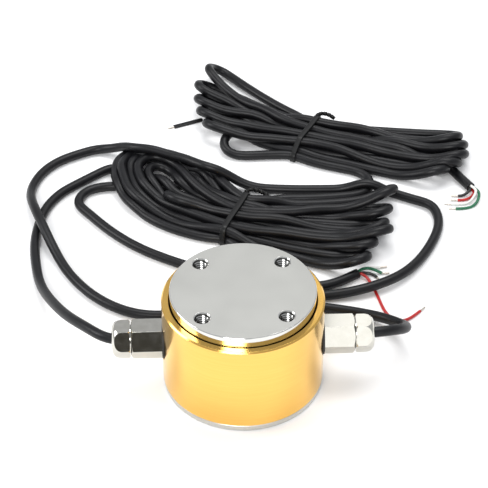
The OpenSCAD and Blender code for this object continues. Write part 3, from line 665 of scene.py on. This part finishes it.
def tube(name, line, radius, sides, finish):
    """A closed round tube: point = line + radius round it. Its UV map counts millimetres along and round
    it, and goes on past the last column instead of back to zero."""
    a = np.linspace(0, 2 * np.pi, sides, endpoint=False)
    circle = np.stack([radius * np.cos(a), radius * np.sin(a)], axis=1)
    obj = new_piece(name, swept(line, circle), capped(len(line), sides), finish, sharp=50)
    last = len(line) - 1
    row, column = np.divmod(np.arange(last * sides), sides)
    end = np.arange(sides)
    rows = [np.stack([row, row, row + 1, row + 1], axis=1).ravel(), 0 * end, 0 * end + last]
    columns = [np.stack([column, column + 1, column + 1, column], axis=1).ravel(), end[::-1], end]
    uv = np.stack([way_along(line)[np.concatenate(rows)],
                   np.concatenate(columns) / sides * 2 * np.pi * radius], axis=1)
    obj.data.uv_layers.new(name="length_round").data.foreach_set("uv", uv.ravel())
    return obj


# CAD triangles are welded, joined where they are flat, and rounded where they meet at more than EDGE_ANGLE
WELD = 0.002
FLAT_ANGLE = math.radians(0.6)
EDGE_ANGLE = math.radians(28)


def dressed(node, bevel_mm, finish=None):
    """A copy of a CAD node with its flat faces joined and its sharp edges rounded by a bevel."""
    mesh = frame["nodes"][node].data.copy()
    bm = bmesh.new()
    bm.from_mesh(mesh)
    bmesh.ops.remove_doubles(bm, verts=bm.verts, dist=WELD * MM)
    bmesh.ops.dissolve_limit(bm, angle_limit=FLAT_ANGLE, verts=bm.verts, edges=bm.edges)
    bm.to_mesh(mesh)
    bm.free()
    face_outwards(mesh)
    mesh.polygons.foreach_set("use_smooth", [True] * len(mesh.polygons))
    mesh.set_sharp_from_angle(angle=EDGE_ANGLE)
    mesh.materials.clear()
    mesh.materials.append(finish or MATERIALS[SLOTS[node]])
    obj = new_object(node + "_edged", mesh)
    bevel = obj.modifiers.new("edge_break", "BEVEL")
    bevel.width = bevel_mm * MM
    bevel.segments = 2
    bevel.limit_method = "ANGLE"
    bevel.angle_limit = EDGE_ANGLE
    bevel.harden_normals = False
    weighted = obj.modifiers.new("flat_faces", "WEIGHTED_NORMAL")
    weighted.keep_sharp = False
    weighted.weight = 100
    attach(obj, "root")
    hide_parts(node)
    return obj


# The CAD nodes take their procedural finishes, and those with visible edges are replaced by edged copies

EDGE_BREAKS = {
    "gold_sleeve": 0.15, "base_plate": 0.12, "left_gland_body": 0.22, "left_cap_nut": 0.15,
    "right_gland_body": 0.22, "right_cap_nut": 0.15,
}
DISC_EDGE_BREAK = 0.12
EDGE_LOOK, HOLE_LOOK = 1, 2
LEVEL_FACE = 0.9
HOLE_TOP = DISC_TOP - 0.4

for node, obj in frame["nodes"].items():
    obj.data.materials.clear()
    obj.data.materials.append(MATERIALS[SLOTS[node]])

# Upright faces: the disc's polished edge. Below its top near the bolts: drilled walls in painted shade
disc = dressed("loading_disc", DISC_EDGE_BREAK, DISC_FINISH)
disc.data.materials.append(POLISHED_EDGE)
disc.data.materials.append(SHADED_HOLE_WALL)
normals, middles = np.zeros((2, len(disc.data.polygons) * 3))
disc.data.polygons.foreach_get("normal", normals)
disc.data.polygons.foreach_get("center", middles)
from_axis = np.hypot(middles[0::3], middles[1::3]) / MM
looks = np.where(np.abs(normals[2::3]) < LEVEL_FACE, EDGE_LOOK, 0)
# Faces inside the holes take the dark hole wall finish, which is painted shade
looks[(from_axis < BOLT_CIRCLE_R + 2 * BOLT_CORE_R) & (middles[2::3] < HOLE_TOP * MM)] = HOLE_LOOK
disc.data.polygons.foreach_set("material_index", looks.tolist())
for node, width in EDGE_BREAKS.items():
    dressed(node, width)


# Threads in the four loading holes: a blunt triangle carried along a helix, crest inwards

THREAD_R = BOLT_CORE_R + 0.02
THREAD_DEPTH = 0.32
THREAD_LENGTH = BOLT_DEPTH - 1.2
THREAD_TOP = DISC_TOP - 0.9
THREAD_STEPS = 40
# Its depth and its height at the very ends, as shares of those of the full thread
THREAD_END_DEPTH = 0.02
THREAD_END_HEIGHT = 0.3
# The profile's points: inwards as a share of the depth, and up as a share of the pitch
THREAD_PROFILE = np.array([[-0.03, -0.46], [1, -0.06], [1, 0.06], [-0.03, 0.46]])


def hole_thread(name, x, y):
    """A thread: point = centre + (radius - profile's depth) round the axis, rising one pitch a turn.
    The profile shrinks to almost nothing over the last half turn at each end."""
    turns = THREAD_LENGTH / BOLT_PITCH
    a = np.linspace(0, 2 * np.pi * turns, int(turns * THREAD_STEPS) + 1)[:, None]
    fade = np.clip(np.minimum(a, a[-1] - a) / np.pi, THREAD_END_DEPTH, 1)
    height = BOLT_PITCH * (THREAD_END_HEIGHT + (1 - THREAD_END_HEIGHT) * fade)
    inwards, upwards = THREAD_PROFILE[None, :, 0], THREAD_PROFILE[None, :, 1]
    r = THREAD_R - THREAD_DEPTH * inwards * fade
    z = THREAD_TOP - THREAD_LENGTH + a * BOLT_PITCH / (2 * np.pi) + upwards * height
    verts = np.stack([r * np.cos(a) + x, r * np.sin(a) + y, z], axis=-1).reshape(-1, 3)
    faces = capped(len(a), len(THREAD_PROFILE))
    obj = new_piece(name, verts, faces, HOLE_THREAD, sharp=35)
    face_outwards(obj.data)


for i, angle in enumerate(np.radians([45, 135, 225, 315])):
    x, y = BOLT_CIRCLE_R * math.cos(angle), BOLT_CIRCLE_R * math.sin(angle)
    hole_thread(f"loading_hole_thread_{i + 1}", x, y)


# Cables

# The jacket is drawn a hair thinner than the cable, so that neighbours in a hank don't share a surface
JACKET_R = CABLE_R - 0.01
JACKET_SIDES = 20


left_cable = tube("left_signal_cable", left_line, JACKET_R, JACKET_SIDES, MATERIALS["cable_jacket"])
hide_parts("left_cable_lead", "front_hank", "left_cable_tail")
right_cable = tube("right_signal_cable", right_line, JACKET_R, JACKET_SIDES, MATERIALS["cable_jacket"])
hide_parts("right_cable_lead", "right_cable_loop", "right_cable_link", "back_hank",
            "right_cable_end")


# Stripped ends: four insulated wires leave the jacket, and each ends in bare tinned strands. A wire has
# its place across and up in the jacket, how far it runs straight on, and its points.

WIRE_LOW = 0.62
WIRES = {
    "left": {
        "red": ((-0.9, 0), 1, [(51.3, 54.6, 1.4), (52.9, 51.6, 0.8), (54.2, 47, WIRE_LOW),
                (55.5, 41, WIRE_LOW), (57, 34.5, WIRE_LOW), (60, 29.5, WIRE_LOW), (64, 28.6, WIRE_LOW),
                (68.5, 31.5, WIRE_LOW), (73, 36, WIRE_LOW)]),
        "black": ((0, -0.9), 2.5, [(53.5, 57, 0.7), (56, 54.6, WIRE_LOW), (57, 52.2, WIRE_LOW)]),
        "green": ((0, 0.9), 3.5, [(55, 58.3, 1.8), (58.5, 57.3, WIRE_LOW), (61, 57.5, WIRE_LOW)]),
        "white": ((0.9, 0), 1.5, [(51.5, 58.9, 2), (54.5, 60.2, 1.4), (57.5, 61, WIRE_LOW),
                  (60.5, 61.5, WIRE_LOW)]),
    },
    "right": {
        "black": ((-0.9, 0), 1, [(99.4, 108.2, 1.6), (97.6, 107.1, 1), (95, 106.8, WIRE_LOW),
                  (92, 107, WIRE_LOW)]),
        "red": ((0, -0.9), 2.5, [(100, 105.4, 0.8), (96.5, 104, WIRE_LOW), (91.5, 104.2, WIRE_LOW)]),
        "white": ((0, 0.9), 3.5, [(101, 103.8, 2), (98, 101.6, WIRE_LOW), (92.5, 101.2, WIRE_LOW),
                  (88.5, 102, WIRE_LOW)]),
        "green": ((0.9, 0), 4.5, [(102.6, 102.4, 1.2), (99.5, 99.2, WIRE_LOW), (94, 98.2, WIRE_LOW),
                  (90, 98.6, WIRE_LOW)]),
    },
}
WIRE_STEP = 0.5
WIRE_SIDES = 12
WIRE_INSIDE = 4
# Steps of the path that are bare at its end, and how many more the strands reach into the insulation
BARE_STEPS = 6
HIDDEN_STEPS = 2
STRANDS_R = WIRE_R * 0.62
STRANDS_SIDES = 8


def stripped_wires(side, line):
    """The wires of one stripped end. Each starts inside the jacket and follows its own points."""
    tip, ahead = line[-1], line[-1] - line[-4]
    ahead = ahead / np.linalg.norm(ahead)
    across = np.cross([0, 0, 1], ahead)
    made = []
    for colour, ((off, up), straight, points) in WIRES[side].items():
        start = tip + across * off + np.array([0, 0, up])
        path = smooth_line([start - WIRE_INSIDE * ahead, start, start + straight * ahead] + points, WIRE_STEP)
        path[:, 2] = np.maximum(path[:, 2], WIRE_R)
        wire = tube(f"{side}_{colour}_stripped_wire", path[:-BARE_STEPS], WIRE_R, WIRE_SIDES,
                    MATERIALS[colour + "_wire"])
        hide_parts(f"{side}_{colour}_wire")
        strands = tube(f"{side}_{colour}_bare_strands", path[-BARE_STEPS - HIDDEN_STEPS:], STRANDS_R,
                       STRANDS_SIDES, TINNED)
        made += [wire, strands]
    return made


left_wires = stripped_wires("left", left_line)
right_wires = stripped_wires("right", right_line)


# Ties

TIE_W = 2.4
TIE_T = 0.8
# Powers of cosine and sine in a strip's section, which is the flatter the lower they are
OVAL_X = 0.45
OVAL_Y = 0.7
TIE_GAP = 0.02
TIE_STEP = 0.6
TIE_DIRECTIONS = 720
# The tie lies on the cable points in this part of the hank
BAND_REACH = 1.3
BAND_SPAN = 14
# It wanders along the hank by this much, as a sine of the distance across it over the second value
TIE_WANDER = 0.9
TIE_WAVE = 9.0

TWIST_W = 1.7
TWIST_T = 0.7
TWIST_APART = 0.36
TWIST_STEP = 0.35
TWIST_SIDES = 12
TWIST_TURNS = 2.5
# The twist starts where the band is furthest back and up, with more weight on up
TWIST_UP_WEIGHT = 1.2
# Points of each twist: along the hank, and back and up from its start
FRONT_TWIST = [(0.6, -0.4, 0.3), (2.5, 2, 0.4), (6, 3, -0.6), (9.5, 3.2, -2.5)]
BACK_TWIST = [(0.6, -0.4, 0.3), (2, 1.6, 0.5), (5, 2.4, 0.2), (8, 2.2, -1)]


def flat_oval(width, thick, sides=16):
    """A strip's section: an oval with two flat faces, x and y being powers of cosine and sine."""
    a = np.linspace(0, 2 * np.pi, sides, endpoint=False)
    c, s = np.cos(a), np.sin(a)
    x, y = np.sign(c) * np.abs(c) ** OVAL_X * width / 2, np.sign(s) * np.abs(s) ** OVAL_Y * thick / 2
    return np.stack([x, y], axis=1)


def band_path(tie, lines):
    """The way round the hank: the tightest closed outline round the cables where the tie crosses them,
    half a strip outside, found as the convex hull's support in each direction."""
    spots = []
    for line in lines:
        u, v = from_tie(tie, line)
        near = (np.abs(u) < BAND_REACH) & (np.abs(v) < BAND_SPAN)
        spots.append(np.stack([v[near], line[near, 2]], axis=1))
    spots = np.concatenate(spots)
    t = np.linspace(0, 2 * np.pi, TIE_DIRECTIONS, endpoint=False)
    normals = np.stack([np.cos(t), np.sin(t)], axis=1)
    support = (normals @ spots.T).max(axis=1) + CABLE_R + TIE_T / 2 + TIE_GAP
    slope = (np.roll(support, -1) - np.roll(support, 1)) / (2 * (t[1] - t[0]))
    edge = support[:, None] * normals + slope[:, None] * np.stack([-np.sin(t), np.cos(t)], axis=1)
    edge[:, 1] = np.maximum(edge[:, 1], TIE_T / 2)
    edge = np.concatenate([edge, edge[:1]])
    return even_steps(np.column_stack([edge, np.zeros(len(edge))]), TIE_STEP)[:-1, :2]


def tie_band(name, tie, lines, replaced):
    """A strip carried round the hank: point = outline + section's x along the hank + section's y outwards.
    It also gives the place where its ends are twisted."""
    edge = band_path(tie, lines)
    ahead = np.roll(edge, -1, axis=0) - np.roll(edge, 1, axis=0)
    ahead /= np.linalg.norm(ahead, axis=1, keepdims=True)
    outwards = np.stack([ahead[:, 1], -ahead[:, 0]], axis=1)
    section = flat_oval(TIE_W, TIE_T)
    u = section[None, :, 0] + TIE_WANDER * np.sin(edge[:, 0] / TIE_WAVE)[:, None]
    v = edge[:, :1] + section[None, :, 1] * outwards[:, :1]
    z = edge[:, 1:] + section[None, :, 1] * outwards[:, 1:]
    verts = np.stack(at_tie(tie, u, v, z), axis=-1).reshape(-1, 3)
    faces = quads(len(edge), len(section), closed_rows=True).tolist()
    band = new_piece(name, verts, faces, MATERIALS["tie_plastic"])
    face_outwards(band.data)
    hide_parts(replaced)
    return band, edge[np.argmax(edge[:, 0] + TWIST_UP_WEIGHT * edge[:, 1])]


def twisted_pair(name, points):
    """The two ends of a tie twisted together: two flat ovals side by side, turned about the line they
    share."""
    line = smooth_line(points, TWIST_STEP)
    side, up = frames_along(line)
    w = np.linspace(0, 2 * np.pi * TWIST_TURNS, len(line))
    section = flat_oval(TWIST_W, TWIST_T, TWIST_SIDES)
    verts, faces = [], []
    for half in (0, 1):
        a = w + np.pi * half
        across = np.cos(a)[:, None] * side + np.sin(a)[:, None] * up
        over = -np.sin(a)[:, None] * side + np.cos(a)[:, None] * up
        rings = (line[:, None] + section[None, :, :1] * across[:, None]
                 + (section[None, :, 1:] + TWIST_APART) * over[:, None])
        verts.append(rings.reshape(-1, 3))
        faces += capped(len(line), TWIST_SIDES, half * len(line) * TWIST_SIDES)
    obj = new_piece(name, np.concatenate(verts), faces, MATERIALS["tie_plastic"], sharp=60)
    face_outwards(obj.data)
    return obj


def tie_of(side, tie, lines, replaced, twist):
    """A whole tie: its band, and the twist that stands on it."""
    band, (back, top) = tie_band(side + "_tie_band", tie, lines, replaced)
    points = [at_tie(tie, u, back + v, top + z) for u, v, z in twist]
    return [band, twisted_pair(side + "_tie_twist", points)]


# The long end of the back tie: where it comes out under the hank, its heading, its length, and where its
# bared wire starts and ends
END_START = np.array([-11.9, 166.9, TIE_T / 2 + TIE_GAP])
END_HEADING = math.radians(202)
END_LENGTH = 13.5
END_BARE = (12.8, 16.4)
END_STEPS = 40
END_BARE_STEPS = 10
TIE_WIRE_R = 0.35


def tie_end():
    """The long end of the back tie lies flat under the hank and shows its bared wire at the tip."""
    ahead = np.array([math.cos(END_HEADING), math.sin(END_HEADING), 0])
    line = END_START + np.linspace(0, END_LENGTH, END_STEPS)[:, None] * ahead
    section = flat_oval(TIE_W, TIE_T)
    strip = new_piece("back_tie_long_end", swept(line, section), capped(len(line), len(section)),
                      MATERIALS["tie_plastic"], sharp=60)
    face_outwards(strip.data)
    tip = END_START + np.linspace(*END_BARE, END_BARE_STEPS)[:, None] * ahead
    core = tube("back_tie_bared_wire", tip, TIE_WIRE_R, WIRE_SIDES, TINNED)
    return [strip, core]


front_ties = tie_of("front", FRONT, [left_line, right_line], "front_tie", FRONT_TWIST)
back_ties = tie_of("back", BACK, [right_line], "back_tie", BACK_TWIST) + tie_end()


# Stage, in metres: a white floor in a white room, three soft lamps, and cards for the polished metal

FLOOR_HALF = 6.0
ROOM_GLOW = 0.62


def flat_sheet(name, corners, paper, **sockets):
    """A flat rectangle of paper that belongs to the stage."""
    mesh = bpy.data.meshes.new(name)
    mesh.from_pydata(corners, [], [(0, 1, 2, 3)])
    mat, tree = new_material(paper)
    end_material(tree, **sockets)
    mesh.materials.append(mat)
    return new_object(name, mesh)


def room():
    """The camera sees a white room, but the object is lit and mirrored by a dimmer, cooler one."""
    world = bpy.data.worlds.new("soft_room")
    world.use_nodes = True
    tree = world.node_tree
    tree.nodes.clear()
    path = add(tree, "ShaderNodeLightPath")
    seen = add(tree, "ShaderNodeMath", {"operation": "MAXIMUM"}, _0=path.outputs["Is Camera Ray"],
               _1=path.outputs["Is Transmission Ray"])
    dim = add(tree, "ShaderNodeBackground", Color=srgb("#F4F6FA"), Strength=ROOM_GLOW)
    white = add(tree, "ShaderNodeBackground", Color=(1, 1, 1, 1), Strength=1.0)
    mix = add(tree, "ShaderNodeMixShader", _0=seen.outputs[0], _1=dim.outputs[0], _2=white.outputs[0])
    add(tree, "ShaderNodeOutputWorld", Surface=mix.outputs[0])
    bpy.context.scene.world = world


def lamp(name, place, aim, size, watts):
    data = bpy.data.lights.new(name, "AREA")
    data.shape = "RECTANGLE"
    data.size, data.size_y = size
    data.energy = watts
    light = new_object(name, data)
    light.location = Vector(place)
    light.rotation_euler = (Vector(aim) - Vector(place)).to_track_quat("-Z", "Y").to_euler()


def card(name, left, right, y, low, high, shade, glow):
    """An upright card that only mirrors see. It gives polished metal its dark or its bright side, as a
    photographer's cards do."""
    corners = [(left, y, low), (right, y, low), (right, y, high), (left, y, high)]
    sheet = flat_sheet(name, corners, name + "_paper", Base_Color=srgb("#000000"), Roughness=1.0,
                       Specular_IOR_Level=0.0, Emission_Color=srgb(shade), Emission_Strength=glow)
    for ray in ("camera", "diffuse", "shadow", "transmission"):
        setattr(sheet, "visible_" + ray, False)


FLOOR_CORNERS = [(-FLOOR_HALF, -FLOOR_HALF, 0), (FLOOR_HALF, -FLOOR_HALF, 0), (FLOOR_HALF, FLOOR_HALF, 0),
                 (-FLOOR_HALF, FLOOR_HALF, 0)]
floor = flat_sheet("floor", FLOOR_CORNERS, "white_paper_floor", Base_Color=srgb("#FAFAFA"), Roughness=0.9,
                   Specular_IOR_Level=0.1)
room()
card("left_dark_card", -0.13, -0.02, -0.25, 0.06, 0.17, "#45433E", 1.0)
card("right_front_card", 0.04, 0.2, -0.25, 0.03, 0.19, "#FFFFFF", 1.6)
card("right_back_card", 0.078, 0.32, 0.5, 0.25, 0.6, "#FFFFFF", 1.6)
lamp("front_box", (-0.25, -0.9, 0.75), (0, 0.03, 0.02), (0.5, 0.4), 7)
lamp("back_box", (0.15, 0.4, 1.15), (0, 0.06, 0.02), (0.9, 0.5), 8)
lamp("left_box", (-0.9, 0.1, 0.6), (0, 0.05, 0.02), (0.5, 0.5), 5)

bpy.context.scene.view_settings.view_transform = "Standard"
